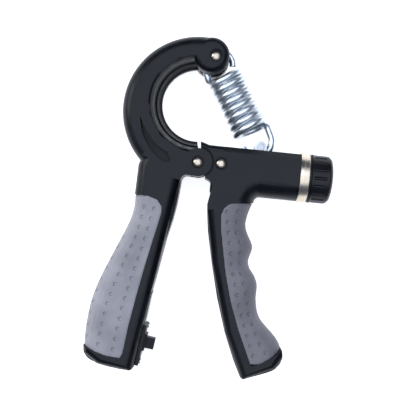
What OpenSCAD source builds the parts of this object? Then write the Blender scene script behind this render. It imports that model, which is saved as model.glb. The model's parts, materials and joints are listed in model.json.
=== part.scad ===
// Adjustable hand grip strengthener, lying flat on its back.
// +X runs towards the adjusting knob, +Y towards the arch, +Z up off the table.
// Outlines are drawn about the hinge pivot, with Z measured from the middle of the thickness.

/* [Body] */
// Thickness of both frames and of the grips, front face to back face
body_t = 24.4; // [24:0.1:25]
// Radius of the arch's outer rim
arch_r = 36.6; // [36.2:0.1:37]
// Height of the arch's centre above the pivot
arch_y = 24.7; // [24.4:0.1:25]
// Radius of the round opening inside the arch
eye_r = 17.7; // [17:0.1:18.5]
// Radius at which the arch's flat face gives way to the dished inner band
eye_face_r = 23.2; // [22:0.1:24]
// Height of the opening's centre above the pivot
eye_y = 28.4; // [28:0.1:29]
// Rounding of the arch's outer rim
rim_round = 6; // [4:0.5:7]

/* [Hinge] */
// Radius of the left frame's hinge lugs
lug_r = 6.8; // [6.4:0.1:7]
// Thickness of the right frame's tongue, between the lugs
tongue_t = 16; // [14:0.5:17]
// Gap between a lug's edge and the right frame's wall
lug_gap = 1.1; // [0.8:0.1:1.4]
// Radius of the pivot rivet's shank
pivot_r = 2.3; // [2:0.1:2.5]
// Radius of the rivets' domed heads
rivet_head_r = 2.8; // [2.6:0.1:3]
// Running clearance between a shank and its bore
fit_gap = 0.05; // [0.02:0.01:0.08]

/* [Spring] */
// Wire diameter of the tension spring
wire_d = 3.4; // [3:0.1:3.5]
// Mean radius of the coils
coil_r = 7.9; // [7.7:0.1:8.1]
// Axial pitch of the coils at rest
coil_pitch = 3.62; // [3.6:0.01:3.65]
// Number of closed turns
coil_turns = 8.5; // [8.5:1:8.5]
// Mean radius of the upper hook
upper_hook_r = 7; // [6.8:0.1:7.2]
// Mean radius of the lower hook
lower_hook_r = 7.4; // [7.2:0.1:7.6]

/* [Adjuster] */
// Diameter of the bright trim ring
ring_d = 24.4; // [24:0.1:24.4]
// Width of the trim ring
ring_w = 4.8; // [4:0.2:5]
// Diameter of the knob over its ribs
knob_d = 24; // [23:0.1:24.2]
// Length of the knob's ribbed skirt
knob_w = 8.4; // [8:0.1:9]
// Number of ribs round the knob
knob_ribs = 18; // [16:1:24]
// Diameter of the adjusting screw
screw_d = 6; // [5:0.5:6]

/* [Counter] */
// Length of the counter's pocket along the handle
pocket_l = 36; // [35:0.5:36.5]
// Depth of the counter's pocket
pocket_deep = 12; // [12:0.5:12.5]
// Width of the counter's pocket
pocket_w = 14.4; // [14:0.2:15]
// Side of the square plunger
plunger_side = 5.5; // [5:0.1:5.8]
// Travel of the plunger
plunger_travel = 3.5; // [3:0.1:3.6]

/* [Hidden] */
$fn = 72;
half_t = body_t / 2;
skin_t = 2.8;
core_half = half_t - skin_t;
through = body_t + 2;
eps = 0.01;

// Where the pivot stands, so that the whole object is centred on the origin
pivot_x = -4.85;
pivot_y = 21.8;

// Round end of the arch, drawn to touch the arch's rim from inside
tip_r = 8.6;
tip_round = 3.4;
tip_pos = [6.8, arch_y + sqrt(pow(arch_r - tip_r, 2) - pow(6.8, 2))];

// Spring pins, about the pivot
upper_pin = [8.9, 51.2];
lower_pin = [30.6, 7.6];
upper_pin_r = 2.2;
hook_pin_r = 1.75;
hook_gap = 0.15;
spring_vec = lower_pin - upper_pin;
spring_len = norm(spring_vec);
spring_angle = atan2(spring_vec[1], spring_vec[0]);
slot_half = wire_d / 2 + 0.7;
// Angle left between a rounded edge and the flat face that it runs into
lean = 8;
// Difference in thickness between pieces of the right frame that run into each other
step = 0.03;

// Arm axis: it leaves the middle of the trim ring and falls towards the knob
ring_centre = [51.5, -7.1];
arm_tilt = -5.8;
arm_r = 11.8;
arm_belly = 9.5;
// Fillet between the arm and the right handle, in the arm's frame
crook_pos = [-20.1, -14.7];
crook_r = 2.9;
arm_start = -45;
arm_end = -ring_w / 2;
nut_x = -22.3;
nut_half_l = 5;
nut_in = 2;
nut_out = 8;
bearing_x = -40.7;
arm_rivet_pos = [-40.7, 2.3];

// Counter frame: origin on the left handle's inner face at the plunger, X outwards
counter_pos = [-28.45, -87.4];
counter_tilt = -13.1;
pocket_top = 25.4;
wheel_r = 4.8;
wheel_w = 3.8;
wheel_depth = 5.8;
shaft_r = 1;

recess_deep = 1.33;
teardrop_deep = 5;
plate_screw_spots = [[-9.3, 3.6], [7.8, -3.6]];

grip_deep = 4.2;
grip_round = 10.5;
spine_round = 5;
steps = 4;

// ---------- places ----------

module at_pivot() {
    translate([pivot_x, pivot_y, half_t]) children();
}

module along_arm() {
    at_pivot() translate([ring_centre[0], ring_centre[1], 0]) rotate([0, 0, arm_tilt]) children();
}

module at_counter() {
    at_pivot() translate([counter_pos[0], counter_pos[1], 0]) rotate([0, 0, counter_tilt]) children();
}

// ---------- curves ----------

function unit(v) = v / norm(v);

// A smooth curve through every point of a list
function bend(p, a, b, c, d, t) =
    0.5 * ((2 * b) + (c - a) * t + (2 * a - 5 * b + 4 * c - d) * t * t + (3 * b - a - 3 * c + d) * t * t * t);
function through_points(p, n = steps) = concat(
    [for (i = [0 : len(p) - 2], k = [0 : n - 1])
        bend(p, p[max(i - 1, 0)], p[i], p[i + 1], p[min(i + 2, len(p) - 1)], k / n)],
    [p[len(p) - 1]]);
function arc(centre, r, from, to, n = 12) =
    [for (k = [0 : n]) let (a = from + (to - from) * k / n) centre + r * [cos(a), sin(a)]];
function reversed(list) = [for (i = [len(list) - 1 : -1 : 0]) list[i]];
function moved(list, by) = [for (p = list) p + by];

// A closed solid through rings of points, the first and last ring capped
module skin(rings) {
    n = len(rings[0]);
    last = (len(rings) - 1) * n;
    sides = [for (i = [0 : len(rings) - 2], k = [0 : n - 1])
        let (a = i * n + k, b = i * n + (k + 1) % n) [a, b, b + n, a + n]];
    polyhedron([for (ring = rings, p = ring) p],
        concat([[for (k = [n - 1 : -1 : 0]) k]], sides, [[for (k = [0 : n - 1]) last + k]]));
}

function tangents(path) =
    [for (i = [0 : len(path) - 1]) unit(path[min(i + 1, len(path) - 1)] - path[max(i - 1, 0)])];
function carried(t, n, i = 0) =
    i == len(t) ? [] : let (m = unit(n - (n * t[i]) * t[i])) concat([m], carried(t, m, i + 1));

// Round wire along a path in space
module wire(path, r, normal, sides = 10) {
    t = tangents(path);
    side = carried(t, normal);
    skin([for (i = [0 : len(path) - 1]) let (up = cross(t[i], side[i]))
        [for (k = [0 : sides - 1]) let (a = -360 * k / sides)
            path[i] + r * (cos(a) * side[i] + sin(a) * up)]]);
}

// ---------- outlines, about the pivot ----------

// Outer silhouette of the left handle, from the neck down to the base
left_outer = [[-30.3, -6], [-30.8, -15], [-31.2, -20], [-32.9, -26.7], [-37, -35.1], [-42.4, -45.2],
    [-47.7, -55.4], [-52, -65.6], [-54.4, -75.8], [-55.6, -84], [-55.85, -91], [-55.2, -98]];
// Finger side of the right handle, from the arm down to the base
right_outer = [[34, -14], [28.5, -17], [25.2, -22.5], [23.1, -29.6], [24, -34.6], [26, -39], [26.5, -42.2],
    [25.2, -45.5], [24.4, -48.5], [25.2, -52], [27.4, -55.4], [28.8, -59.8], [28.5, -63.5], [28.2, -67],
    [28.8, -73], [30.7, -77.5], [34.3, -81.8], [38.1, -86.3], [40.4, -91.3], [40.7, -97]];

// Front edge between the left grip and its black spine
left_seam = [[-17.4, -21.3], [-17.7, -24.8], [-20.6, -34.1], [-25.3, -49.1], [-29.9, -65.4],
    [-33.3, -78.2], [-36.2, -91.6]];
right_seam = [[11.2, -25.5], [11.1, -30], [11.5, -36], [13.3, -53.1], [15.8, -67.2], [19.5, -80.6],
    [23.1, -91]];

// Inner edge of the right handle's black spine, run with the handle on its left
right_spine = [[4.4, -24], [6.6, -48.5], [12.9, -82.5], [21.2, -106.8]];

left_grip_top = [[-31.6, -15.2], [-24, -16], [-19.5, -18.1]];
left_heel = [[-55.6, -90.6], [-54.6, -93.4], [-52, -95.7], [-48.3, -97.3], [-43, -98.8]];
left_grip_foot = [[-37.6, -94], [-43.8, -92.9], [-49.6, -91], [-55.8, -88.4]];
right_grip_top = [[16.8, -19.85], [14.6, -20.5], [12.5, -22.4]];
right_grip_foot = [[25.5, -97.9], [30.4, -96.5], [35.3, -94.1], [40.4, -90.6]];

// ---------- left frame ----------

module rimmed_puck(r, round_r) {
    rotate_extrude($fn = 128)
        polygon(concat([[0, -half_t]], arc([r - round_r, round_r - half_t], round_r, -90, 0, 8),
            arc([r - round_r, half_t - round_r], round_r, 0, 90, 8), [[0, half_t]]));
}

// Section of the dished band inside the arch: a rounded shoulder, a step and a middle bead
module dished_band() {
    side = concat([[eye_face_r + 0.6, half_t + 1], [eye_face_r + 0.6, half_t],
        [eye_face_r - 0.4, half_t - 0.5],
        [eye_face_r - 1.4, half_t - 2.4], [eye_face_r - 2.4, 4.6], [eye_face_r - 3.2, 4.2], [eye_r + 1.2, 2],
        [eye_r + 0.6, 1.1], [eye_r - 0.4, 1.1]]);
    polygon(concat([[1, half_t + 1]], side, [for (p = reversed(side)) [p[0], -p[1]]], [[1, -half_t - 1]]));
}

module arch() {
    difference() {
        translate([0, arch_y, 0]) rimmed_puck(arch_r, rim_round);
        // everything to the right of the tip and below the neck
        translate([0, 0, -through / 2]) linear_extrude(through)
            polygon([[tip_pos[0] + 2.4, 64], [60, 64], [60, -40], [-60, -40], [-60, 1], [-0.4, 1],
                [-0.4, 10.5], [2, 28], [4.5, 43], tip_pos]);
    }
}

// The round opening and the dished band round it
module eye() {
    translate([0, eye_y, -through / 2]) cylinder(h = through, r = eye_r);
    translate([0, eye_y, 0]) rotate([0, 0, 70]) rotate_extrude(angle = 202) dished_band();
}

module arch_tip() {
    translate([tip_pos[0], tip_pos[1], 0]) rimmed_puck(tip_r, tip_round);
}

// Concave edge cutters: they round the front and back edge of a straight side
module edge_round(from, to, r) {
    run = to - from;
    for (face = [-1, 1])
        translate([from[0], from[1], 0]) rotate([0, 0, atan2(run[1], run[0])]) rotate([90, 0, 90])
            translate([0, 0, -1]) linear_extrude(norm(run) + 2)
                difference() {
                    translate([-6, face > 0 ? half_t - r : -half_t - 1]) square([r + 6, r + 1]);
                    translate([r, face * (half_t - r * cos(lean))]) circle(r);
                }
}

module left_body() {
    difference() {
        translate([0, 0, -half_t]) linear_extrude(body_t)
            polygon(concat([[-26.5, 4], [-28.9, -0.5], [-30.8, -15.2]],
                left_grip_top, left_seam, left_grip_foot, through_points(left_heel, 3),
                [[-37.5, -100], [-34.3, -100.5], [-32.2, -100], [-31.2, -99.1], [-22.55, -62.1],
                    [-21.6, -59], [-19.1, -50], [-15.5, -36.9], [-12.5, -27.9], [-10.4, -20.1],
                    [-8.4, -9.5]],
                arc([-5.4, -8.9], 3, 170, 100, 6),
                [[-2, -6.5], [0, -5.4], [0, 7.3], [-0.4, 10.5], [-4, 12], [-20, 12]]));
        edge_round([-28.8, 0.5], [-30.9, -16.2], rim_round);
        edge_round([-27.2, 2.8], [-28.9, -0.5], rim_round);
        edge_round([-55.8, -86], [-55.6, -92], 5);
        edge_round([-56.6, -91], [-48.4, -97.9], 4.5);
        edge_round([-52, -96.2], [-34.3, -100.5], 3.5);
        edge_round([-31.6, -100.3], [-8.7, -9.5], spine_round);
    }
}

module left_core() {
    outer = moved(through_points(left_outer, 2), [grip_deep, 0]);
    below = [for (p = outer) if (p[1] < -12 && p[1] > -93) p];
    translate([0, 0, -core_half]) linear_extrude(2 * core_half)
        polygon(concat(below, [[-49, -94], [-35, -97], [-27, -79], [-22, -56], [-13, -25], [-12, -12]]));
}

module left_frame() {
    color("#2b2f3a") difference() {
        at_pivot() {
            difference() {
                union() {
                    arch();
                    left_body();
                }
                eye();
            }
            arch_tip();
            left_core();
            translate([0, 0, -half_t]) cylinder(h = body_t, r = lug_r);
        }
        at_pivot() {
            // room for the right frame's tongue
            translate([0, 0, -tongue_t / 2 - 0.3]) cylinder(h = tongue_t + 0.6, r = lug_r + 0.4);
            translate([0, -3.5, -tongue_t / 2 - 0.3]) cube([12, 14, tongue_t + 0.6]);
            // bores and rivet recesses
            translate([0, 0, -through / 2]) cylinder(h = through, r = pivot_r + fit_gap);
            rivet_recesses([0, 0]);
            translate([upper_pin[0], upper_pin[1], -through / 2])
                cylinder(h = through, r = upper_pin_r + fit_gap);
            rivet_recesses(upper_pin);
            // slot for the spring's upper hook
            translate([10.2, 48.8, -slot_half]) cylinder(h = 2 * slot_half, r = 9.8);
            teardrops();
        }
        at_counter() {
            translate([-pocket_deep, -pocket_l + pocket_top, -pocket_w / 2])
                cube([pocket_deep + 1, pocket_l, pocket_w]);
        }
    }
}

module rivet_recesses(pos) {
    for (face = [-1, 1])
        translate([pos[0], pos[1], face * half_t - recess_deep])
            cylinder(h = 2 * recess_deep, r = rivet_head_r + 0.5);
}

// Teardrop hollows where the arch meets the handle, front and back
module teardrops() {
    outline = concat(through_points([[-27.9, 22.7], [-26.6, 13.8], [-22.9, 6.5], [-18.3, 1.5], [-16, 0.2]], 3),
        arc([-14.9, 1.6], 1.7, 225, 420, 6),
        through_points([[-14.6, 4.8], [-19.2, 7.8], [-22.9, 12.4], [-26.1, 17.9]], 3));
    for (face = [-1, 1])
        translate([0, 0, face * half_t - teardrop_deep]) linear_extrude(2 * teardrop_deep) polygon(outline);
}

// ---------- grips ----------

// One ring of a grip: flat front and back, rounded over the outer side
function grip_ring(p, side, inner) =
    let (over = [for (k = [0 : 10]) let (a = 90 - 18 * k)
            [p[0] - side * grip_round * (1 - pow(cos(a), 0.85)), p[1],
                half_t * sign(sin(a)) * pow(abs(sin(a)), 0.9)]],
        ring = concat([[inner, p[1], half_t]], over, [[inner, p[1], -half_t]]))
    side > 0 ? ring : reversed(ring);

module grip_solid(outer, side, inner) {
    skin([for (p = outer) grip_ring(p, side, inner)]);
}

module left_grip() {
    color("#9a9ca9") at_pivot() difference() {
        intersection() {
            grip_solid(through_points(left_outer, 3), -1, -8);
            translate([0, 0, -half_t - 1]) linear_extrude(through)
                polygon(concat([[-60, -15.2]], left_grip_top, left_seam, left_grip_foot, [[-60, -87]]));
        }
        left_core();
    }
}

module right_grip() {
    color("#7d7b84") at_pivot() difference() {
        intersection() {
            grip_solid(through_points(right_outer, 2), 1, 4);
            translate([0, 0, -half_t - 1]) linear_extrude(through)
                polygon(concat([[31.5, -19.75], [17.6, -19.75]], right_grip_top, right_seam, right_grip_foot,
                    [[46, -88], [46, -60]]));
        }
        right_core();
    }
}

// ---------- right frame ----------

// Arm section: flat front and back, a bevel along the top and a wide round underneath
module arm_section() {
    bevel = 2.6;
    top = arm_r - 1;
    polygon(concat(belly_arc(arm_belly - arm_r),
        [[top - bevel, half_t], [top, half_t - bevel], [top, bevel - half_t], [top - bevel, -half_t]],
        reversed(belly_arc(arm_belly - arm_r, -1))));
}

// The arm's rounded underside in section, on the front or the back
function belly_arc(x, face = 1, half = half_t) =
    [for (p = arc([x, half - arm_belly * cos(lean)], arm_belly, 180, 90 + lean, 8)) [p[0], face * p[1]]];

// The arm's rounded underside, turned down into the handle
module crook() {
    inner = crook_r + arm_belly;
    half = half_t - step;
    along_arm() translate([crook_pos[0], crook_pos[1], 0]) rotate([0, 0, 90])
        rotate_extrude(angle = 90 - arm_tilt)
            polygon(concat(belly_arc(inner, 1, half), [[inner + 2, half], [inner + 2, -half]],
            reversed(belly_arc(inner, -1, half))));
}

module arm() {
    along_arm() translate([arm_start, 0, 0]) rotate([90, 0, 90])
        linear_extrude(arm_end - arm_start) arm_section();
}

module right_body() {
    heel = concat([[22, -104.9]],
        through_points([[33, -101.8], [36.4, -100.5], [39, -98.5], [40.5, -95.9], [40.7, -93]], 3));
    half = half_t - 2 * step;
    at_pivot() difference() {
        translate([0, 0, -half]) linear_extrude(2 * half)
            polygon(concat([[29, -4]], arc([30, -19.7], crook_r + arm_belly + 0.4, 96, 174, 8),
                [[17.2, -19.7]], right_grip_top, right_seam, right_grip_foot, reversed(heel),
                [[20.2, -103.9], [17.3, -96.4], [12.9, -82.5], [9.1, -64.9], [6.6, -48.5],
                    [4.8, -33.3], [4.4, -24], [4.5, -20]],
                arc([2.9, -11.6], 3.8, -20, 55, 6), [[3.2, -7.4], [8, 5], [20, -2]]));
        edge_round([22, -104.9], [39, -99], 3.5);
        edge_round([36.6, -101.4], [42.2, -93.2], 4.5);
        for (k = [1 : len(right_spine) - 1])
            edge_round(right_spine[k - 1], right_spine[k], spine_round);
    }
}

module right_core() {
    outer = moved(through_points(right_outer, 2), [-grip_deep, 0]);
    below = [for (p = outer) if (p[1] < -17 && p[1] > -95) p];
    translate([0, 0, -core_half]) linear_extrude(2 * core_half)
        polygon(concat([[15, -14]], below,
            [[35, -98.5], [22, -102], [15, -84], [10, -58], [8, -30], [8, -14]]));
}

// Lip above the hinge, bevelled like the arm's top
module throat() {
    half = half_t - 3 * step;
    difference() {
        translate([0, 0, -half]) linear_extrude(2 * half)
            polygon([[1.4, 6.2], [1.4, 10.2], [5.6, 8.5], [12.9, 7.6], [12, 2], [6, 2]]);
        edge_round([13.5, 7.55], [5.2, 8.55], 2.6);
        edge_round([6, 8.4], [0.6, 10.55], 2.6);
    }
}

module right_frame() {
    color("#22252e") difference() {
        union() {
            arm();
            crook();
            right_body();
            at_pivot() {
                right_core();
                translate([0, 0, -tongue_t / 2]) cylinder(h = tongue_t, r = lug_r - 0.1);
                throat();
            }
        }
        at_pivot() {
            // the left frame's lugs turn in these
            for (face = [-1, 1])
                translate([0, 0, face > 0 ? tongue_t / 2 : -half_t - 1])
                    cylinder(h = half_t - tongue_t / 2 + 1, r = lug_r + lug_gap);
            // nothing is left on the arch's side of the hinge
            translate([-20, -30, -through / 2]) cube([21.4, 23.4, through]);
            translate([-20, 6.9, -through / 2]) cube([21.4, 12, through]);
            translate([-20, -12, tongue_t / 2]) cube([20, 24, 10]);
            translate([-20, -12, -tongue_t / 2 - 10]) cube([20, 24, 10]);
            difference() {
                translate([-20, -12, -through / 2]) cube([20, 24, through]);
                translate([0, 0, -through / 2 - 1]) cylinder(h = through + 2, r = lug_r - 0.1);
            }
            translate([0, 0, -through / 2]) cylinder(h = through, r = pivot_r + fit_gap);
        }
        along_arm() {
            nut_slot();
            // bore for the screw, its bearing and the bush at the arm's end
            translate([bearing_x - 4.2, 0, 0]) rotate([0, 90, 0]) cylinder(h = 60, r = 5);
            translate([arm_rivet_pos[0], arm_rivet_pos[1], -through / 2]) cylinder(h = through, r = pivot_r);
            rivet_recesses(arm_rivet_pos);
        }
    }
}

// Slot along the top of the arm: wide for the nut, narrow and longer for the spring's hook
module nut_slot() {
    nut_from = nut_x - nut_in - nut_half_l - 0.5;
    nut_to = nut_x + nut_out + nut_half_l + 0.5;
    translate([nut_from, -5.6, -5.6]) cube([nut_to - nut_from, arm_r + 8, 11.2]);
    translate([nut_x - 14, 3.6, -slot_half]) cube([-4.8 - (nut_x - 14), arm_r, 2 * slot_half]);
}

// ---------- rivets and pins ----------

module rivet(shank_r) {
    grip_l = body_t - 2 * 1.28;
    translate([0, 0, -grip_l / 2]) cylinder(h = grip_l, r = shank_r);
    for (face = [0, 1]) mirror([0, 0, face]) translate([0, 0, grip_l / 2]) dome_head();
}

// A low dome, built as a turned cap
module dome_head() {
    rise = 1.25;
    ball_r = (rivet_head_r * rivet_head_r + rise * rise) / (2 * rise);
    rotate_extrude() polygon(concat([[0, 0]], arc([0, rise - ball_r], ball_r,
        asin((ball_r - rise) / ball_r), 90, 8)));
}

module pivot_rivet() {
    color("#d6d2cb") at_pivot() rivet(pivot_r);
}

module upper_spring_pin() {
    color("#d6d2cb") at_pivot() translate([upper_pin[0], upper_pin[1], 0]) rivet(upper_pin_r);
}

module arm_rivet() {
    color("#d6d2cb") along_arm() translate([arm_rivet_pos[0], arm_rivet_pos[1], 0]) rivet(pivot_r);
}

// ---------- spring ----------

// In the spring's own frame X runs from the upper pin to the lower pin
upper_hook_x = upper_hook_r - wire_d / 2 - upper_pin_r - hook_gap;
lower_hook_x = spring_len - (lower_hook_r - wire_d / 2 - hook_pin_r - hook_gap);
coil_l = coil_turns * coil_pitch;
coil_x0 = (upper_hook_x + lower_hook_x - coil_l) / 2;
lead = 30;
// Turn left out where the two halves of the wire meet
parting = 0.03;

function coil_point(turn) =
    let (a = 180 + lead + turn * (360 * coil_turns - 2 * lead) / coil_turns)
    [coil_x0 + turn * coil_pitch, coil_r * cos(a), coil_r * sin(a)];
function hook_point(x, r, a) = [x - r * cos(a), r * sin(a), 0];

upper_hook = concat(
    [for (a = [122 : -14 : -90]) hook_point(upper_hook_x, upper_hook_r, a)],
    [[(upper_hook_x + coil_x0) / 2 - 0.3, -(upper_hook_r + coil_r) / 2, 0],
        [coil_x0 - 1.3, -coil_r - 0.05, -0.6], [coil_x0 - 0.35, -coil_r + 0.25, -2.2]]);
lower_hook = concat(
    [[coil_x0 + coil_l + 0.35, coil_r - 0.25, -2.2], [coil_x0 + coil_l + 1.3, coil_r + 0.05, -0.6],
        [(lower_hook_x + coil_x0 + coil_l) / 2 + 0.3, (lower_hook_r + coil_r) / 2, 0]],
    [for (a = [90 : 14 : 272]) hook_point(lower_hook_x, lower_hook_r, a)]);

module spring_half(path, normal) {
    color("#cfd6dc") at_pivot() translate([upper_pin[0], upper_pin[1], 0]) rotate([0, 0, spring_angle])
        wire(path, wire_d / 2, normal);
}

module spring_upper() {
    turns = [for (k = [0 : 72]) coil_point(k / 72 * coil_turns / 2)];
    spring_half(concat(upper_hook, turns), [0, 0, 1]);
}

module spring_lower() {
    turns = [for (k = [0 : 72]) coil_point(coil_turns / 2 + parting + k / 72 * (coil_turns / 2 - parting))];
    spring_half(concat(turns, lower_hook), [0, 1, 0]);
}

// ---------- adjuster ----------

module along_screw(x) {
    along_arm() translate([x, 0, 0]) rotate([0, 90, 0]) children();
}

module screw_bearing() {
    color("#8d7a4a") along_arm() difference() {
        translate([bearing_x - 4.2, 0, 0]) rotate([0, 90, 0]) cylinder(h = 8.4, r = 5);
        translate([bearing_x + 0.2, 0, 0]) rotate([0, 90, 0]) cylinder(h = 5, r = 2 + fit_gap);
        translate([arm_rivet_pos[0], arm_rivet_pos[1], -7]) cylinder(h = 14, r = pivot_r);
    }
}

module lead_screw() {
    journal_x = bearing_x + pivot_r + 0.2;
    thread_x = bearing_x + 4.5;
    thread_end = knob_x + 4.4;
    color("#b9bcc0") union() {
        along_screw(journal_x) cylinder(h = thread_x - journal_x + eps, r = 2);
        along_screw(thread_x) cylinder(h = thread_end - thread_x, r = screw_d / 2);
        along_screw(thread_end - eps) cylinder(h = knob_x + knob_w - 2.3 - thread_end, r = 2.4);
    }
}

module slider_nut() {
    ear_w = 2.8;
    color("#c9ccd1") along_arm() difference() {
        union() {
            translate([nut_x - nut_half_l, -5.4, -5.4]) cube([2 * nut_half_l, 12.2, 10.8]);
            for (face = [-1, 1]) {
                translate([nut_x, 12.5, face * 4 - ear_w / 2]) cylinder(h = ear_w, r = 3);
                translate([nut_x - 3, 6, face * 4 - ear_w / 2]) cube([6, 6.5, ear_w]);
            }
        }
        translate([nut_x - nut_half_l - 1, 0, 0]) rotate([0, 90, 0])
            cylinder(h = 2 * nut_half_l + 2, r = screw_d / 2 + fit_gap);
        translate([nut_x, 12.5, -6]) cylinder(h = 12, r = hook_pin_r);
        translate([nut_x - nut_half_l - 1, 4.4, -2.6]) cube([2 * nut_half_l + 2, 12, 5.2]);
    }
}

module hook_pin() {
    color("#b9bcc0") along_arm() translate([nut_x, 12.5, -5.4]) cylinder(h = 10.8, r = hook_pin_r);
}

// Closes the arm's end and carries the screw
module end_bush() {
    color("#15171c") difference() {
        along_screw(-4.6) cylinder(h = 4.6 + ring_w / 2, r = 5);
        along_screw(-6) cylinder(h = 12, r = screw_d / 2 + fit_gap);
    }
}

module trim_ring() {
    color("#d9d4c8") difference() {
        along_screw(-ring_w / 2) cylinder(h = ring_w, r = ring_d / 2);
        along_screw(-ring_w / 2 - 1) cylinder(h = ring_w + 2, r = 5);
    }
}

module thrust_washer() {
    color("#101114") difference() {
        along_screw(ring_w / 2 + 0.1) cylinder(h = 0.8, r = knob_d / 2 - 0.2);
        along_screw(ring_w / 2 - 1) cylinder(h = 4, r = screw_d / 2 + fit_gap);
    }
}

knob_x = ring_w / 2 + 1.1;

module knob() {
    groove = 0.75;
    color("#1a1b1f") difference() {
        along_screw(knob_x) union() {
            cylinder(h = 0.7, r = knob_d / 2);
            translate([0, 0, 0.7]) cylinder(h = knob_w - 0.7, r = knob_d / 2 - 0.3);
        }
        along_screw(knob_x + 1.2) for (k = [0 : knob_ribs - 1]) rotate([0, 0, 360 * k / knob_ribs])
            translate([knob_d / 2 - 0.3, 0, 0]) cylinder(h = knob_w - 2.4, r = groove, $fn = 24);
        // seat for the screw's end, and the hollow under the cap
        along_screw(knob_x - 1) cylinder(h = 5.9, r = screw_d / 2);
        along_screw(knob_x + 4.9) cylinder(h = knob_w, r = 8.5);
    }
}

module knob_cap() {
    dome = 2.2;
    color("#15161a") along_screw(knob_x + knob_w)
        rotate_extrude() polygon([[0, -2.2], [2.4, -2.2], [2.4, -1.8], [8.3, -1.8], [8.3, 0], [11.2, 0],
            [11.2, 0.5], [10.2, 1.5], [8, dome - 0.1], [0, dome]]);
}

// ---------- counter ----------

module counter_housing() {
    wall = 1;
    color("#202227") at_counter() difference() {
        translate([-pocket_deep + 0.1, -pocket_l + pocket_top + 0.1, -pocket_w / 2 + 0.1])
            cube([pocket_deep - 0.2, pocket_l - 0.2, pocket_w - 0.2]);
        difference() {
            translate([-pocket_deep, -pocket_l + pocket_top, -pocket_w / 2] + (0.1 + wall) * [1, 1, 1])
                cube([pocket_deep, pocket_l - 0.2 - 2 * wall, pocket_w - 0.2 - 2 * wall]);
            // posts for the plate's screws, and the rib that carries the wheels' shaft
            for (spot = plate_screw_spots)
                translate([-pocket_deep, spot[0] - 1.4, spot[1] - 1.8]) cube([pocket_deep - 0.1, 2.8, 3.6]);
            translate([-pocket_deep, 7.4, -7]) cube([pocket_deep - 1.6, 0.9, 7.6]);
        }
        plate_screw_holes();
    }
}

module plate_screw_holes() {
    for (spot = plate_screw_spots)
        translate([-6, spot[0], spot[1]]) rotate([0, 90, 0]) cylinder(h = 9, r = 0.9);
}

module counter_plate() {
    color("#17181b") at_counter() difference() {
        union() {
            translate([0.02, -11.2, -pocket_w / 2]) cube([1.68, 20, pocket_w]);
            translate([1.7, -4.2, -4.2]) cube([1, 8.4, 8.4]);
        }
        translate([-1, -plunger_side / 2 - 0.15, -plunger_side / 2 - 0.15])
            cube([5, plunger_side + 0.3, plunger_side + 0.3]);
        plate_screw_holes();
    }
}

module plate_screws() {
    color("#b9bcc0") at_counter() for (spot = plate_screw_spots)
        translate([-5, spot[0], spot[1]]) rotate([0, 90, 0]) {
            cylinder(h = 6.7, r = 0.9);
            translate([0, 0, 6.7]) cylinder(h = 0.6, r = 1.4);
        }
}

module counter_window() {
    color("#c9b8a0") at_counter() difference() {
        translate([-0.3, 9, -5.4]) cube([0.9, 15.6, 10.8]);
        translate([-1, 9.6, -4.6]) cube([0.75, 14.4, 9.2]);
    }
}

module plunger() {
    back = 4.6;
    color("#1b1c20") at_counter() difference() {
        translate([-back, -plunger_side / 2, -plunger_side / 2]) cube([back + 7, plunger_side, plunger_side]);
        translate([-back - 1, 0, 0]) rotate([0, 90, 0]) cylinder(h = 3.2, r = 2.3);
    }
}

module plunger_spring() {
    spring_wire = 0.25;
    turns = 5;
    from = -10.8 + spring_wire;
    to = -2.5 - spring_wire;
    color("#cfd6dc") at_counter()
        wire([for (k = [0 : 12 * turns])
                [from + (to - from) * k / (12 * turns), 1.8 * cos(30 * k), 1.8 * sin(30 * k)]],
            spring_wire, [0, 1, 0], 6);
}

// A thin arm on the plunger that pushes the ratchet round by one tooth
module pawl() {
    color("#c9ccd1") at_counter() {
        translate([-4.2, plunger_side / 2, 1]) cube([2.2, 4.3, 0.8]);
        translate([-4.2, plunger_side / 2 + 3.5, 1]) cube([0.9, 0.8, 3.2]);
    }
}

module at_wheel(y) {
    at_counter() translate([-wheel_depth, y, 0]) rotate([-90, 0, 0]) children();
}

module counter_shaft() {
    color("#b9bcc0") at_wheel(7.4) cylinder(h = 17.6, r = shaft_r);
}

module digit_wheel(y) {
    color("#e8e6df") at_wheel(y) difference() {
        cylinder(h = wheel_w - 0.2, r = wheel_r);
        translate([0, 0, -1]) cylinder(h = wheel_w + 2, r = shaft_r + fit_gap);
    }
}

module units_wheel() {
    digit_wheel(11);
}

module tens_wheel() {
    digit_wheel(11 + wheel_w + 0.2);
}

module hundreds_wheel() {
    digit_wheel(11 + 2 * (wheel_w + 0.2));
}

module ratchet_wheel() {
    teeth = 10;
    color("#b9bcc0") at_wheel(9.3) difference() {
        linear_extrude(1.6) polygon([for (k = [0 : teeth - 1]) each
            [3.9 * [cos(36 * k), sin(36 * k)], 3.1 * [cos(36 * k + 6), sin(36 * k + 6)]]]);
        translate([0, 0, -1]) cylinder(h = 4, r = shaft_r + fit_gap);
    }
}

// ---------- the parts ----------

left_frame();
left_grip();
right_frame();
right_grip();
pivot_rivet();
upper_spring_pin();
arm_rivet();
spring_upper();
spring_lower();
screw_bearing();
lead_screw();
slider_nut();
hook_pin();
end_bush();
trim_ring();
thrust_washer();
knob();
knob_cap();
counter_housing();
counter_plate();
counter_window();
plate_screws();
plunger();
plunger_spring();
pawl();
counter_shaft();
ratchet_wheel();
units_wheel();
tens_wheel();
hundreds_wheel();
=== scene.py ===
# %% [markdown]
# # An adjustable hand grip strengthener
# The trainer lies flat on its back: a black nylon arch with one handle on the left, a second
# handle hinged to it on the right, a zinc-plated tension spring between them, and a ribbed knob
# that winds the spring's lower hook along the arm. The frame is the CAD part. Everything made
# here sits in the CAD part's own coordinates, in metres, so nothing has to be fitted by eye.

# %% Load the frame
import json
from math import atan2, cos, radians, sin

import bpy
from mathutils import Matrix, Vector

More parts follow.
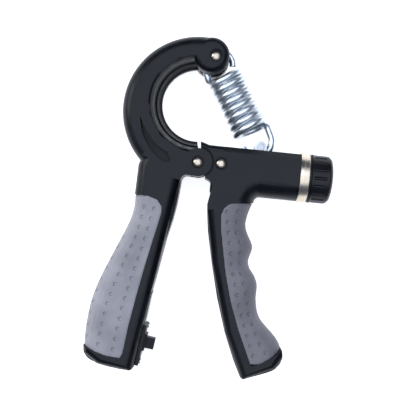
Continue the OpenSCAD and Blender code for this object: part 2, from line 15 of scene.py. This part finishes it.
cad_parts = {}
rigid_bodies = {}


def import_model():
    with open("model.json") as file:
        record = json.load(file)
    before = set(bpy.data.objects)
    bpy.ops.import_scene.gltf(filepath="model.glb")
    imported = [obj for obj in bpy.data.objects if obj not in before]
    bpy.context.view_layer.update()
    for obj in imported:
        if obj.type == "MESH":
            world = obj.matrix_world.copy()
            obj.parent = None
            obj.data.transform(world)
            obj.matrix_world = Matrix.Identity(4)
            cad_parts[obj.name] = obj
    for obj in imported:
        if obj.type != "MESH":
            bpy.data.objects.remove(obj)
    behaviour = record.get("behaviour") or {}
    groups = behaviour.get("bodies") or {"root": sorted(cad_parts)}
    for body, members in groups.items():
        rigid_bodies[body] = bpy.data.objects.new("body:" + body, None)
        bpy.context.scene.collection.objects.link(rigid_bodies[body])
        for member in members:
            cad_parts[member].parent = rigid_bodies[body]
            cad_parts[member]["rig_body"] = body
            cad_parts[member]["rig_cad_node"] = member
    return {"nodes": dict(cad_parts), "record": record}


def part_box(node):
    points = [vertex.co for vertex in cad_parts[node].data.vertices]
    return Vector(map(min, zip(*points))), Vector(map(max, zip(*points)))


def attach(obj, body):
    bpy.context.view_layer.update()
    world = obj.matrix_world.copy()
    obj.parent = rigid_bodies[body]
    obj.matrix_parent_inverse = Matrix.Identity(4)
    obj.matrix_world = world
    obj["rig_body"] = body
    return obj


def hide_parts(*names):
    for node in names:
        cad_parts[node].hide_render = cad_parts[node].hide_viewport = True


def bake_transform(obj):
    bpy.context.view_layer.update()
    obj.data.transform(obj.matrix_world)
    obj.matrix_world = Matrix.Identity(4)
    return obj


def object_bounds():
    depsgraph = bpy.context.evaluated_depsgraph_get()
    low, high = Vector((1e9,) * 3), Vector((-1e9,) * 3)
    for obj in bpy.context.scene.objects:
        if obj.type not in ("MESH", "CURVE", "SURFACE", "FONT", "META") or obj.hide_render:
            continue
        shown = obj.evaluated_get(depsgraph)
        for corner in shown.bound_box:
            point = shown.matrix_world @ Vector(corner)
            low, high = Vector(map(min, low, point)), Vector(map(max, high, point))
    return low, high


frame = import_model()
cad_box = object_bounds()
nodes = frame["nodes"]
mm = 0.001

# %% [markdown]
# ## Places to measure from
# The hinge rivet and the two pins that hold the spring are the three places from which everything
# else can be found. They could be typed in, but taking them from the boxes of the CAD nodes keeps
# the looks right if the CAD part is ever changed.

# %% Places from the CAD boxes
def middle(node):
    low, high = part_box(node)
    return (low + high) / 2


pivot = middle("pivot_rivet")
spring_top_pin = middle("upper_spring_pin")
spring_foot_pin = middle("hook_pin")
half_thick = (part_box("left_grip")[1].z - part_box("left_grip")[0].z) / 2
print("hinge at", [round(v / mm, 2) for v in pivot], "mm, half thickness", round(half_thick / mm, 2))


def from_hinge(x, y, z=0.0):
    """A point given in millimetres from the hinge, with z from the middle of the thickness."""
    return pivot + Vector((x, y, z)) * mm


# %% [markdown]
# ## Small helpers
# An operator acts on everything that is selected, and the import leaves the CAD nodes selected,
# so each step first selects one object and nothing else. A CAD node's own mesh is never touched:
# a copy is made, its loose triangles are joined, and the copy is worked.

# %% Selecting and copying
def only(piece):
    bpy.ops.object.select_all(action="DESELECT")
    piece.select_set(True)
    bpy.context.view_layer.objects.active = piece
    return piece


def joined_copy(node, name, flat_angle=0.6):
    """A copy of a CAD node with its triangles joined and its flat faces made whole."""
    piece = nodes[node].copy()
    piece.data = nodes[node].data.copy()
    piece.parent = None
    piece.name = piece.data.name = name
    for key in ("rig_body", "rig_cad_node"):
        if key in piece:
            del piece[key]
    bpy.context.scene.collection.objects.link(piece)
    only(piece)
    bpy.ops.object.mode_set(mode="EDIT")
    bpy.ops.mesh.select_all(action="SELECT")
    bpy.ops.mesh.remove_doubles(threshold=1e-6)
    if flat_angle:
        bpy.ops.mesh.dissolve_limited(angle_limit=radians(flat_angle))
    bpy.ops.object.mode_set(mode="OBJECT")
    return piece


def apply(piece, kind, **settings):
    """Adds one modifier, sets it and applies it."""
    only(piece)
    modifier = piece.modifiers.new(kind.lower(), kind)
    for key, value in settings.items():
        setattr(modifier, key, value)
    bpy.ops.object.modifier_apply(modifier=modifier.name)


def smooth(piece, angle=32):
    only(piece)
    bpy.ops.object.shade_smooth_by_angle(angle=radians(angle))


def coat(piece, material):
    """Gives a piece one material and no other."""
    piece.data.materials.clear()
    piece.data.materials.append(material)


def finish_piece(piece, body, slot, material, *replaced):
    """Gives a finished piece its body and its material. The slot argument is not used."""
    coat(piece, material)
    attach(piece, body)
    if replaced:
        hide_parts(*replaced)
    print(piece.name, "faces", len(piece.data.polygons), "rides on", body)


# %% [markdown]
# ## Materials
# Every finish is worked out from nodes. One function turns a hex colour into the linear numbers
# that the shader wants, and one adds a node with its settings and its links.

# %% Colour and node helpers
def linear(code):
    parts = [int(code[i:i + 2], 16) / 255 for i in (1, 3, 5)]
    return [p / 12.92 if p <= 0.04045 else ((p + 0.055) / 1.055) ** 2.4 for p in parts] + [1.0]


def add_node(tree, kind, settings=None, links=None):
    node = tree.nodes.new("ShaderNode" + kind)
    for key, value in (settings or {}).items():
        if key in node.inputs:
            node.inputs[key].default_value = value
        else:
            setattr(node, key, value)
    for key, source in (links or {}).items():
        tree.links.new(source, node.inputs[key])
    return node


def new_material(name, settings):
    """A material with its shader, and the object's own coordinates in metres."""
    material = bpy.data.materials.new(name)
    material.use_nodes = True
    tree = material.node_tree
    shader = tree.nodes["Principled BSDF"]
    for key, value in settings.items():
        shader.inputs[key].default_value = value
    place = add_node(tree, "TexCoord").outputs["Object"]
    return material, tree, shader, place


def per(size_mm):
    """Texture scale for a pattern whose features are this many millimetres across."""
    return 1000.0 / size_mm


def noise(tree, place, size_mm, detail=2.0, roughness=0.5):
    settings = {"Scale": per(size_mm), "Detail": detail, "Roughness": roughness}
    return add_node(tree, "TexNoise", settings, {"Vector": place}).outputs["Fac"]


def ranged(tree, value, low, high, start=0.35, end=0.65):
    settings = {"From Min": start, "From Max": end, "To Min": low, "To Max": high}
    return add_node(tree, "MapRange", settings, {"Value": value}).outputs["Result"]


def two_colours(tree, factor, first, second):
    node = add_node(tree, "Mix", {"data_type": "RGBA"})
    node.inputs[6].default_value = linear(first)
    node.inputs[7].default_value = linear(second)
    tree.links.new(factor, node.inputs[0])
    return node.outputs[2]


def bumped(tree, shader, height, depth_mm, strength):
    """Roughens the surface by a height pattern that is depth_mm deep."""
    bump = add_node(tree, "Bump", {"Distance": depth_mm * mm, "Strength": strength}, {"Height": height})
    tree.links.new(bump.outputs["Normal"], shader.inputs["Normal"])


# %% [markdown]
# ### Glass-filled nylon
# The arch and both handle frames are injection moulded in black glass-filled polyamide. The tool
# is spark eroded, which leaves a very fine even grain, so the plastic has a soft blue-grey sheen
# rather than a clear reflection. The frame's near-black colour also carries a slight blue tint,
# which paints part of that sheen into the surface. The real grain is about 0.1 mm. It is drawn
# at 0.45 mm so that it can be seen at all, and it is kept shallow.

# %% Nylon
def nylon_material(name, dark, light, rough_low, rough_high):
    material, tree, shader, place = new_material(name, {"IOR": 1.5, "Specular IOR Level": 0.25})
    clouds = noise(tree, place, 9.0, 3.0)
    grain = noise(tree, place, 0.45, 3.0, 0.6)
    tree.links.new(two_colours(tree, ranged(tree, clouds, 0.0, 1.0), dark, light),
                   shader.inputs["Base Color"])
    tree.links.new(ranged(tree, clouds, rough_low, rough_high), shader.inputs["Roughness"])
    bumped(tree, shader, grain, 0.012, 0.8)
    return material


# The frame's black is the nylon's own colour; its slight blue tint is painted sheen.
frame_nylon = nylon_material("moulded_nylon_black", "#06080D", "#0B0F17", 0.34, 0.42)
counter_abs = nylon_material("moulded_abs_black", "#0A0B0D", "#101114", 0.42, 0.5)
knob_abs = nylon_material("moulded_abs_knob", "#0D0E11", "#14161A", 0.3, 0.36)
print("plastic materials ready")

# %% [markdown]
# ### Soft grip rubber
# The grips are thermoplastic rubber moulded over the nylon. The rubber is matt, a little dusty,
# and slightly uneven in tone. The right grip is drawn in a darker grey than the left.

# %% Rubber
def rubber_material(name, dark, light):
    material, tree, shader, place = new_material(
        name, {"IOR": 1.48, "Specular IOR Level": 0.35, "Sheen Weight": 0.12, "Sheen Roughness": 0.6})
    patches = noise(tree, place, 14.0, 3.0)
    specks = noise(tree, place, 0.7, 3.0, 0.65)
    base = two_colours(tree, ranged(tree, patches, 0.0, 1.0, 0.3, 0.7), dark, light)
    speckled = add_node(tree, "Mix", {"data_type": "RGBA", "blend_type": "MULTIPLY"})
    speckled.inputs[0].default_value = 0.5
    tree.links.new(base, speckled.inputs[6])
    tree.links.new(ranged(tree, specks, 0.86, 1.0, 0.3, 0.6), speckled.inputs[7])
    tree.links.new(speckled.outputs[2], shader.inputs["Base Color"])
    tree.links.new(ranged(tree, specks, 0.66, 0.8), shader.inputs["Roughness"])
    bumped(tree, shader, specks, 0.03, 0.7)
    return material


left_rubber = rubber_material("soft_rubber_left", "#918F94", "#A9A7AC")
right_rubber = rubber_material("soft_rubber_right", "#757277", "#868388")
print("rubber materials ready")


# %% [markdown]
# ### Metals
# The spring is drawn steel wire with bright blue-white zinc plating. The rivets are nickel plated
# and a little warmer. The ring is chromed, and its warm tint is a painted reflection of warm
# surroundings. The screw is plain bright steel, and the bearing behind it is bronze. A metal's
# colour is its reflection, so the detail goes into the roughness and the bump.

# %% Metals
def metal_material(name, dark, light, rough_low, rough_high, mark_mm, mark_depth):
    material, tree, shader, place = new_material(name, {"Metallic": 1.0})
    tarnish = noise(tree, place, 6.0, 4.0)
    marks = noise(tree, place, mark_mm, 4.0, 0.65)
    tree.links.new(two_colours(tree, ranged(tree, tarnish, 0.0, 1.0), dark, light),
                   shader.inputs["Base Color"])
    tree.links.new(ranged(tree, marks, rough_low, rough_high), shader.inputs["Roughness"])
    bumped(tree, shader, marks, mark_depth, 0.6)
    return material


zinc = metal_material("zinc_plated_steel", "#D3DCE4", "#F1F6FA", 0.3, 0.42, 0.8, 0.02)
nickel = metal_material("nickel_plated_steel", "#B5A998", "#D6CBBB", 0.24, 0.34, 1.2, 0.012)
bright_steel = metal_material("turned_steel", "#A9ACB0", "#CFD2D6", 0.24, 0.38, 0.5, 0.015)
bronze = metal_material("sintered_bronze", "#6E5A34", "#9A8350", 0.4, 0.55, 0.35, 0.03)
print("metal materials ready")


# %% [markdown]
# ### The trim ring's plating
# The ring is chromed, and it was turned in a lathe before it was plated, so very fine lines run
# round it. They are drawn as bands along the screw's axis: the pattern is turned to lie along
# the arm, and only the distance along the axis is used. Its cream colour is a painted reflection
# of warm surroundings.

# %% Chrome
arm_angle = radians(-5.8)


def chrome_material(name):
    material, tree, shader, place = new_material(name, {"Metallic": 1.0})
    along = add_node(tree, "Mapping", {"vector_type": "TEXTURE", "Rotation": (0, 0, arm_angle)},
                     {"Vector": place}).outputs["Vector"]
    stretched = add_node(tree, "Mapping", {"Scale": (1.0, 0.02, 0.02)}, {"Vector": along}).outputs["Vector"]
    lines = noise(tree, stretched, 0.35, 2.0)
    haze = noise(tree, place, 5.0, 3.0)
    # The cream colours paint a reflection of warm surroundings; the haze only varies them at random.
    tree.links.new(two_colours(tree, ranged(tree, haze, 0.0, 1.0), "#C9BCA8", "#DDD2C0"),
                   shader.inputs["Base Color"])
    tree.links.new(ranged(tree, lines, 0.26, 0.36), shader.inputs["Roughness"])
    bumped(tree, shader, lines, 0.012, 0.7)
    return material


chrome = chrome_material("chromed_ring")
print("chrome ready")


# %% [markdown]
# ### Counter window and number wheels
# The window is clear acrylic with a faint smoky tint. The wheels behind it are white acetal.

# %% Window and wheels
def acrylic_material(name):
    material, tree, shader, place = new_material(
        name, {"IOR": 1.49, "Transmission Weight": 0.85, "Base Color": linear("#B9C0C4")})
    smears = noise(tree, place, 4.0, 3.0)
    tree.links.new(ranged(tree, smears, 0.06, 0.16), shader.inputs["Roughness"])
    return material


def acetal_material(name):
    material, tree, shader, place = new_material(name, {"IOR": 1.48, "Specular IOR Level": 0.5})
    tone = noise(tree, place, 3.0, 2.0)
    tree.links.new(two_colours(tree, ranged(tree, tone, 0.0, 1.0), "#DEDCD4", "#EDEBE4"),
                   shader.inputs["Base Color"])
    tree.links.new(ranged(tree, tone, 0.35, 0.45), shader.inputs["Roughness"])
    return material


acrylic = acrylic_material("clear_acrylic")
acetal = acetal_material("white_acetal")
print("window and wheel materials ready")

# %% [markdown]
# ## The two nylon frames
# Each frame is one moulding: the arch with the left handle, and the arm with the right handle.
# The CAD shapes are right, but a moulding never has knife edges. A copy is taken and every sharp
# edge gets a small two-step bevel, which is what catches the light along the arch's rim.

# %% Frames
def softened(node, name, width_mm, sharp=32, segments=2):
    piece = joined_copy(node, name)
    apply(piece, "BEVEL", width=width_mm * mm, segments=segments, limit_method="ANGLE",
          angle_limit=radians(sharp), use_clamp_overlap=True)
    smooth(piece)
    apply(piece, "WEIGHTED_NORMAL", mode="FACE_AREA_WITH_ANGLE", weight=60, keep_sharp=True)
    return piece


left_shell = softened("left_frame", "left_handle_frame", 0.35)
finish_piece(left_shell, "left_handle", "black_frame", frame_nylon, "left_frame")
right_shell = softened("right_frame", "right_handle_frame", 0.35)
finish_piece(right_shell, "right_handle", "black_frame", frame_nylon, "right_frame")

# %% [markdown]
# ## The rubber grips
# The grips are overmoulded, so their edges are round and their faces carry rows of round dimples
# that keep a damp hand from slipping. A copy of the CAD grip is remeshed into even small quads
# and smoothed, which rounds it as the mould does, and then swollen by a quarter of a millimetre.
# A bump map could show the dimples, but it fades when the grip is seen at a slant, so small balls
# are cut out of the rubber instead.

# %% Grip helpers
def along(points, count):
    """Evenly spaced points along a broken line, ends included."""
    lengths = [(b - a).length for a, b in zip(points, points[1:])]
    total, spots = sum(lengths), []
    for k in range(count):
        left, i = total * k / (count - 1), 0
        while i < len(lengths) - 1 and left > lengths[i]:
            left -= lengths[i]
            i += 1
        spots.append(points[i].lerp(points[i + 1], left / lengths[i]))
    return spots


grip_swell = 0.25 * mm
dimple_r = 1.15 * mm
dimple_sink = 0.85 * mm


def dimple_cutter(spots, name):
    """Balls whose caps stand dimple_sink deep in the face, joined into one cutter."""
    balls = []
    for place, outward in spots:
        bpy.ops.object.select_all(action="DESELECT")
        bpy.ops.mesh.primitive_ico_sphere_add(
            subdivisions=2, radius=dimple_r, location=place + outward * (dimple_r - dimple_sink))
        balls.append(bpy.context.object)
    bpy.ops.object.select_all(action="DESELECT")
    for ball in balls:
        ball.select_set(True)
    bpy.context.view_layer.objects.active = balls[0]
    bpy.ops.object.join()
    bpy.ops.object.transform_apply(location=True, rotation=True, scale=True)
    bpy.context.object.name = name
    return bpy.context.object


def moulded_grip(node, name, seen_from):
    """The grip, swollen a little so that it stands proud of the nylon, with its dimples cut."""
    piece = joined_copy(node, name, 0)
    apply(piece, "REMESH", mode="VOXEL", voxel_size=0.55 * mm, use_smooth_shade=True)
    apply(piece, "SMOOTH", factor=0.5, iterations=4)
    apply(piece, "DISPLACE", strength=grip_swell, mid_level=0.0)
    spots = []
    for start, towards in seen_from:
        hit, place, outward, _ = piece.ray_cast(start, towards)
        if hit:
            spots.append((place, outward))
    print(name, "dimples", len(spots))
    cutter = dimple_cutter(spots, name + "_balls")
    apply(piece, "BOOLEAN", operation="DIFFERENCE", object=cutter, solver="EXACT")
    bpy.data.objects.remove(cutter)
    smooth(piece, 40)
    return piece


# %% [markdown]
# ### Where the dimples go
# Each grip has two rows on the front and the same two on the back, and the left one has a fainter
# row on each side of its rounded edge. The rubber's surface bulges, so a dimple can't be given a
# fixed height. A ray is sent at the grip from outside, and the ball is put where it lands.

# %% Dimple places
far = 30 * mm
side_lift = 5 * mm
up, down = Vector((0, 0, 1)), Vector((0, 0, -1))
to_the_right = Vector((1, 0, 0))


def rows_of_dimples(columns, count):
    """Where to look for the surface: down on the front face, and up at the back one."""
    looks = []
    for column in columns:
        for place in along([from_hinge(x, y) for x, y in column], count):
            looks += [(place + up * far, down), (place + down * far, up)]
    return looks


def side_dimples(points, count, towards):
    """Dimples on the rounded side, seen slantwise from the front and from the back."""
    looks = []
    for place in along([from_hinge(x, y) for x, y in points], count):
        for rise in (up, down):
            look = (towards - rise).normalized()
            looks.append((place - look * far + rise * side_lift, look))
    return looks


dimple_count = 15
side_dimple_count = 10
left_columns = [
    [(-25.8, -21.4), (-29.5, -35.8), (-36.1, -50.1), (-40.3, -59.5), (-43.7, -68.8), (-47.8, -87.2)],
    [(-21.0, -22.3), (-26.8, -41.9), (-32.0, -56.4), (-36.4, -70.7), (-40.8, -89.6)],
]
left_side = [(-34.5, -36.0), (-44.5, -54.0), (-50.5, -72.0), (-52.0, -84.0)]
right_columns = [
    [(14.0, -23.8), (15.2, -38.8), (16.9, -53.0), (19.2, -65.9), (23.9, -84.4), (26.5, -92.9)],
    [(19.2, -23.8), (18.6, -33.6), (20.2, -38.6), (20.5, -52.5), (23.5, -64.2), (24.6, -73.8),
     (29.6, -86.8), (32.5, -91.3)],
]

# %% [markdown]
# ### Both grips
# The two rubber pads are made in the same way. They differ in their rows of dimples and in tone.

# %% Make both grips
left_looks = rows_of_dimples(left_columns, dimple_count)
left_looks += side_dimples(left_side, side_dimple_count, to_the_right)
left_pad = moulded_grip("left_grip", "left_handle_grip", left_looks)
finish_piece(left_pad, "left_handle", "grey_grip_left", left_rubber, "left_grip")
right_pad = moulded_grip("right_grip", "right_handle_grip", rows_of_dimples(right_columns, dimple_count))
finish_piece(right_pad, "right_handle", "grey_grip_right", right_rubber, "right_grip")

# %% [markdown]
# ## The tension spring
# The spring is one length of 3.4 mm wire: a hook round the upper pin, eight and a half closed
# turns, and a hook round the pin in the arm's nut. It could be built from a screw modifier, but
# the hooks leave the coil on its side, so the wire's whole path is laid out as points and a round
# section is carried along it.

# %% The wire's path
wire_r = 1.7
coil_r, coil_pitch, coil_turns = 7.9, 3.62, 8.5
lead = 30
coil_points = 144
upper_hook_r, lower_hook_r = 7.0, 7.4
pin_gap, upper_pin_r, lower_pin_r = 0.15, 2.2, 1.75
spring_axis = (spring_foot_pin - spring_top_pin) / mm
spring_length = Vector((spring_axis.x, spring_axis.y)).length
upper_x = upper_hook_r - wire_r - upper_pin_r - pin_gap
lower_x = spring_length - (lower_hook_r - wire_r - lower_pin_r - pin_gap)
coil_length = coil_turns * coil_pitch
coil_start = (upper_x + lower_x - coil_length) / 2
print("spring between pins", round(spring_length, 2), "mm")


def coil_point(turn):
    angle = radians(180 + lead + turn * (360 * coil_turns - 2 * lead) / coil_turns)
    return Vector((coil_start + turn * coil_pitch, coil_r * cos(angle), coil_r * sin(angle)))


def hook_point(x, r, degrees):
    return Vector((x - r * cos(radians(degrees)), r * sin(radians(degrees)), 0))


wire_path = [hook_point(upper_x, upper_hook_r, a) for a in range(122, -91, -14)]
wire_path += [Vector(((upper_x + coil_start) / 2 - 0.3, -(upper_hook_r + coil_r) / 2, 0)),
              Vector((coil_start - 1.3, -coil_r - 0.05, -0.6)),
              Vector((coil_start - 0.35, -coil_r + 0.25, -2.2))]
wire_path += [coil_point(k / coil_points * coil_turns) for k in range(coil_points + 1)]
coil_end = coil_start + coil_length
wire_path += [Vector((coil_end + 0.35, coil_r - 0.25, -2.2)),
              Vector((coil_end + 1.3, coil_r + 0.05, -0.6)),
              Vector(((lower_x + coil_end) / 2 + 0.3, (lower_hook_r + coil_r) / 2, 0))]
wire_path += [hook_point(lower_x, lower_hook_r, a) for a in range(90, 273, 14)]
print("points on the wire", len(wire_path))


# %% [markdown]
# ### A smooth run of wire
# Real wire has no corners. More points are worked out between the first ones, on a curve that
# passes through every one of them, and all are then carried to their place between the two pins.
# A Bezier curve could do the rounding, but it would drift off the coil's true radius.

# %% A smoother path
def rounder(points, parts=3):
    """Points on a smooth curve through all the points."""
    out = []
    for i in range(len(points) - 1):
        a, b, c, d = (points[max(0, min(len(points) - 1, k))] for k in (i - 1, i, i + 1, i + 2))
        for s in range(parts):
            t = s / parts
            out.append(0.5 * (2 * b + (c - a) * t + (2 * a - 5 * b + 4 * c - d) * t ** 2
                              + (3 * b - a - 3 * c + d) * t ** 3))
    return out + [points[-1]]


spring_turn = atan2(spring_axis.y, spring_axis.x)
to_place = (Matrix.Translation(spring_top_pin) @ Matrix.Rotation(spring_turn, 4, "Z")
            @ Matrix.Scale(mm, 4))
path = [to_place @ p for p in rounder(wire_path)]

# %% [markdown]
# ### The wire itself
# A curve with a round bevel carries the section along the path without twisting it. It is made a
# mesh at once, its ends are closed, and their edges are broken a little, as on cropped wire.

# %% Draw the wire as a curve and make it a mesh
bpy.ops.object.select_all(action="DESELECT")
bpy.ops.curve.primitive_nurbs_path_add(location=(0, 0, 0))
spring = bpy.context.object
spring.name = "tension_spring"
spring.data.splines.clear()
line = spring.data.splines.new("POLY")
line.points.add(len(path) - 1)
for point, place in zip(line.points, path):
    point.co = (*place, 1.0)
spring.data.dimensions = "3D"
spring.data.twist_mode = "MINIMUM"
spring.data.bevel_depth = wire_r * mm
spring.data.bevel_resolution = 6
spring.data.use_fill_caps = True
only(spring)
bpy.ops.object.convert(target="MESH")
spring = bpy.context.object
bpy.ops.object.mode_set(mode="EDIT")
bpy.ops.mesh.select_all(action="SELECT")
bpy.ops.mesh.remove_doubles(threshold=1e-6)
bpy.ops.mesh.normals_make_consistent(inside=False)
bpy.ops.object.mode_set(mode="OBJECT")
apply(spring, "BEVEL", width=0.4 * mm, segments=3, limit_method="ANGLE", angle_limit=radians(60))
smooth(spring, 50)

# %% [markdown]
# ### The spring's finish
# The upper hook rides on the arch's pin and the lower one on the nut's pin. A rigid piece would
# come off one of them. The wire is plated, its place is baked into its mesh, and the CAD spring
# is hidden.

# %% Plate the spring and hide the CAD spring
coat(spring, zinc)
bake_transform(spring)
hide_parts("spring_upper", "spring_lower")
print("spring faces", len(spring.data.polygons))

# %% [markdown]
# ## Hardware
# Rivets, ring, knob, screw and the counter's parts keep their CAD shapes, which are exact. Each
# gets a small bevel suited to how it was made: a rolled edge on a rivet, a turned edge on the
# ring, a moulded edge on the knob. They could each be modelled by hand, but they would only come
# out as the same shapes. The last number in a line is the bevel's width in millimetres.

# %% Hardware with softened edges
hardware = [
    ("pivot_rivet", "rivet_metal", nickel, 0.15),
    ("upper_spring_pin", "rivet_metal", nickel, 0.15),
    ("arm_rivet", "rivet_metal", nickel, 0.15),
    ("trim_ring", "ring_chrome", chrome, 0.5),
    ("thrust_washer", "knob_black", counter_abs, 0.1),
    ("knob", "knob_black", knob_abs, 0.25),
    ("knob_cap", "knob_black", knob_abs, 0.25),
    ("lead_screw", "screw_steel", bright_steel, 0.2),
    ("slider_nut", "screw_steel", bright_steel, 0.25),
    ("hook_pin", "screw_steel", bright_steel, 0.2),
    ("screw_bearing", "bearing_bronze", bronze, 0.2),
    ("end_bush", "black_frame", frame_nylon, 0.2),
    ("counter_housing", "counter_black", counter_abs, 0.15),
    ("counter_plate", "counter_black", counter_abs, 0.2),
    ("counter_window", "window_clear", acrylic, 0.15),
    ("plate_screws", "screw_steel", bright_steel, 0.12),
    ("plunger", "counter_black", counter_abs, 0.25),
    ("pawl", "screw_steel", bright_steel, 0.08),
    ("counter_shaft", "screw_steel", bright_steel, 0.1),
    ("ratchet_wheel", "screw_steel", bright_steel, 0.06),
    ("units_wheel", "wheel_white", acetal, 0.15),
    ("tens_wheel", "wheel_white", acetal, 0.15),
    ("hundreds_wheel", "wheel_white", acetal, 0.15),
]
bodies = frame["record"]["behaviour"]["bodies"]
body_of = {node: body for body, members in bodies.items() for node in members}
for node, slot, material, width in hardware:
    piece = softened(node, node + "_finished", width)
    finish_piece(piece, body_of[node], slot, material, node)

# %% [markdown]
# ### The plunger's return spring
# A small spring behind the counter's plunger pushes it out again. Its back end stays in the
# housing while its front end goes in with the plunger. Here it is a plated copy of the CAD spring.

# %% The return spring
return_spring = joined_copy("plunger_spring", "return_spring", 0)
coat(return_spring, zinc)
smooth(return_spring, 60)
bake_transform(return_spring)
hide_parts("plunger_spring")
print("return spring faces", len(return_spring.data.polygons))

# %% [markdown]
# ## The table
# The trainer lies on a pure white table, as in a catalogue. A plain white sheet would turn grey
# where the light falls off, so the paper also glows a little. It lies just under the grips, which
# swelled past the nylon.

# %% Table
bpy.ops.object.select_all(action="DESELECT")
bpy.ops.mesh.primitive_plane_add(size=12.0, location=(0, 0, cad_box[0][2] - grip_swell))
table = bpy.context.object
table.name = "white_table"
paper, paper_tree, paper_shader, paper_place = new_material(
    "white_paper", {"Roughness": 0.9, "Specular IOR Level": 0.1, "Emission Strength": 0.75,
                    "Emission Color": linear("#FFFFFF")})
tone = noise(paper_tree, paper_place, 60.0, 2.0)
paper_tree.links.new(two_colours(paper_tree, ranged(paper_tree, tone, 0.0, 1.0), "#FAFAFB", "#FDFDFD"),
                     paper_shader.inputs["Base Color"])
table.data.materials.append(paper)
print("table at", round((cad_box[0][2] - grip_swell) / mm, 2), "mm")


# %% [markdown]
# ## The lights
# A broad soft light hangs a metre up and a little to the left, and gives the black nylon its even
# blue-grey sheen. A small weak one stands low on the left, and draws the bright line along the
# rims. A sun would throw hard shadows, which a catalogue table doesn't have.

# %% Lights
def softbox(name, place, aim, size, watts, colour):
    bpy.ops.object.select_all(action="DESELECT")
    bpy.ops.object.light_add(type="AREA", location=place)
    lamp = bpy.context.object
    lamp.name = name
    lamp.data.size = size
    lamp.data.energy = watts
    lamp.data.color = linear(colour)[:3]
    lamp.rotation_euler = (Vector(aim) - Vector(place)).to_track_quat("-Z", "Y").to_euler()
    print(name, watts, "W")


softbox("overhead_light", (-0.1, 0.1, 1.0), (-0.1, 0.1, 0), 1.4, 12.5, "#E8F0FF")
softbox("key_light", (-0.75, 0.3, 0.45), (0, 0, 0), 0.35, 2.6, "#FFFFFF")

# %% [markdown]
# ## The surroundings
# A dim, pale blue room fills the sides that the lights don't reach, so shadows stay faint.

# %% Surroundings
world = bpy.data.worlds.new("pale_room")
bpy.context.scene.world = world
world.use_nodes = True
world.node_tree.nodes["Background"].inputs["Color"].default_value = linear("#A9BFE6")
world.node_tree.nodes["Background"].inputs["Strength"].default_value = 0.15
bpy.context.scene.view_settings.view_transform = "Standard"
print("world strength", world.node_tree.nodes["Background"].inputs["Strength"].default_value)

# %% [markdown]
# ## The camera
# The camera hangs 0.4 m over the middle of the trainer and looks straight down through a 70 mm
# lens. It is close enough for the front faces to look a little larger than the back ones.

# %% Camera
camera_height = 0.4
bpy.ops.object.select_all(action="DESELECT")
bpy.ops.object.camera_add(location=(0, -0.0002, half_thick + camera_height), rotation=(0, 0, 0))
camera = bpy.context.object
camera.data.lens = 70
camera.data.sensor_width = 36
bpy.context.scene.camera = camera
print("camera", round(camera.location.z, 3), "m up")
